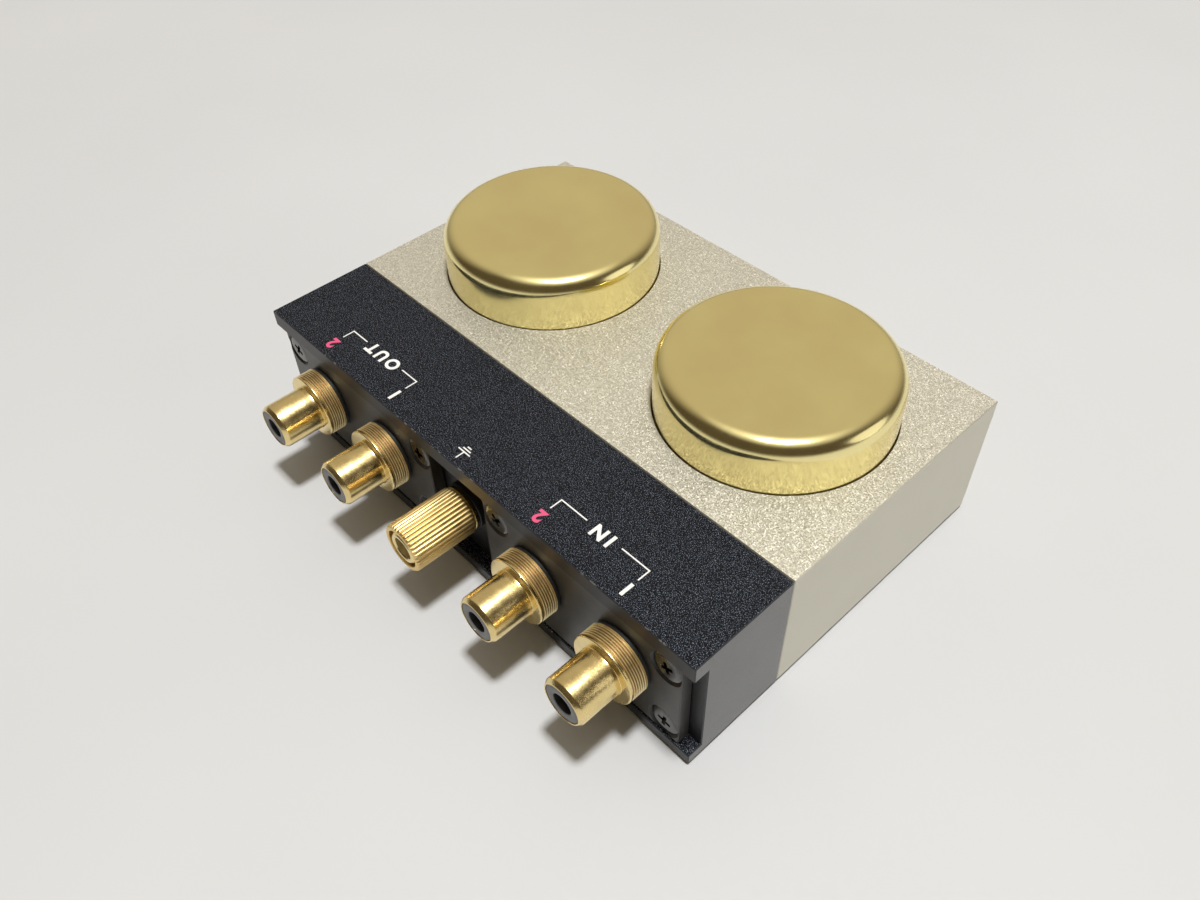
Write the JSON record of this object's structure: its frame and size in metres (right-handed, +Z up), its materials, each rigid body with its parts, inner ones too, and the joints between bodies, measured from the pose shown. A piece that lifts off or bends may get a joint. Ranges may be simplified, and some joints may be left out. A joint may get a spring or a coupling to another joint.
{
  "type": "moving coil step-up transformer",
  "caption": "Low aluminium box with round shielding cans on its deck, phono sockets and a ground terminal along one side, for matching a moving coil cartridge to a preamplifier.",
  "frame": {"origin": "middle of the two housings' footprint, on the surface that the pads rest on", "axes": "+X to the right when facing the connector panel, the panel faces -Y, +Z up"},
  "size_m": [0.105, 0.0837, 0.0362],
  "materials": {
    "champagne_aluminium": "bead-blasted and anodised, champagne",
    "black_aluminium": "bead-blasted and anodised, black",
    "base_plate": "anodised, dark grey",
    "rubber_pad": "matt",
    "steel_screw": "zinc plated",
    "polished_can": "polished, pale gold",
    "zinc_steel": "zinc plated",
    "terminal_board": "paper laminate",
    "tinned_brass": "tinned",
    "core_steel": "annealed laminations",
    "bobbin_plastic": "satin",
    "enamelled_copper": "enamelled wire",
    "foam": "closed-cell foam",
    "jack_plate": "satin dark grey",
    "black_screw": "black oxide",
    "gold_plate": "gold plated, polished",
    "grey_insulator": "satin",
    "black_plastic": "satin",
    "lead_insulation": "satin"
  },
  "bodies": {
    "root": {"transformer_housing": "champagne_aluminium", "terminal_housing": "black_aluminium", "transformer_cover": "base_plate", "terminal_cover": "base_plate", "transformer_pad": "rubber_pad", "terminal_pad": "rubber_pad", "transformer_cover_screws": "steel_screw", "terminal_cover_screws": "steel_screw", "housing_screws": "steel_screw", "left_can": "polished_can", "right_can": "polished_can", "left_clamp_ring": "zinc_steel", "right_clamp_ring": "zinc_steel", "left_terminal_board": "terminal_board", "right_terminal_board": "terminal_board", "terminal_pins": "tinned_brass", "left_core": "core_steel", "right_core": "core_steel", "left_core_strap": "zinc_steel", "right_core_strap": "zinc_steel", "left_bobbin": "bobbin_plastic", "right_bobbin": "bobbin_plastic", "left_primary_winding": "enamelled_copper", "right_primary_winding": "enamelled_copper", "left_secondary_winding": "enamelled_copper", "right_secondary_winding": "enamelled_copper", "left_foam_disc": "foam", "right_foam_disc": "foam", "output_plate": "jack_plate", "input_plate": "jack_plate", "jack_plate_screws": "black_screw", "output_right_shell": "gold_plate", "output_left_shell": "gold_plate", "input_right_shell": "gold_plate", "input_left_shell": "gold_plate", "output_right_insulator": "grey_insulator", "output_left_insulator": "grey_insulator", "input_right_insulator": "grey_insulator", "input_left_insulator": "grey_insulator", "output_right_contact": "gold_plate", "output_left_contact": "gold_plate", "input_right_contact": "gold_plate", "input_left_contact": "gold_plate", "jack_front_washers": "black_plastic", "jack_rear_washers": "black_plastic", "jack_solder_lugs": "tinned_brass", "jack_nuts": "gold_plate", "ground_post": "gold_plate", "ground_spacer": "black_plastic", "ground_tag": "tinned_brass", "ground_nut": "gold_plate", "ground_lead": "lead_insulation", "left_input_leads": "lead_insulation", "left_output_leads": "lead_insulation", "right_input_leads": "lead_insulation", "right_output_leads": "lead_insulation"},
    "ground_washer": {"ground_washer": "gold_plate"},
    "ground_knob": {"ground_knob": "gold_plate"}
  },
  "joints": [
    {"name": "ground_washer_slide", "type": "slide", "parent": "root", "child": "ground_washer", "axis": [0, -1, 0], "range_m": [0, 0.0056]},
    {"name": "ground_knob_turn", "type": "hinge", "parent": "ground_washer", "child": "ground_knob", "pos_m": [0, -0.0415, 0.0143], "axis": [0, -1, 0], "range_deg": [0, 2700]}
  ],
  "couplings": [
    {"joint": "ground_knob_turn", "follows": "ground_washer_slide", "rad_per_m": 8377.6}
  ]
}
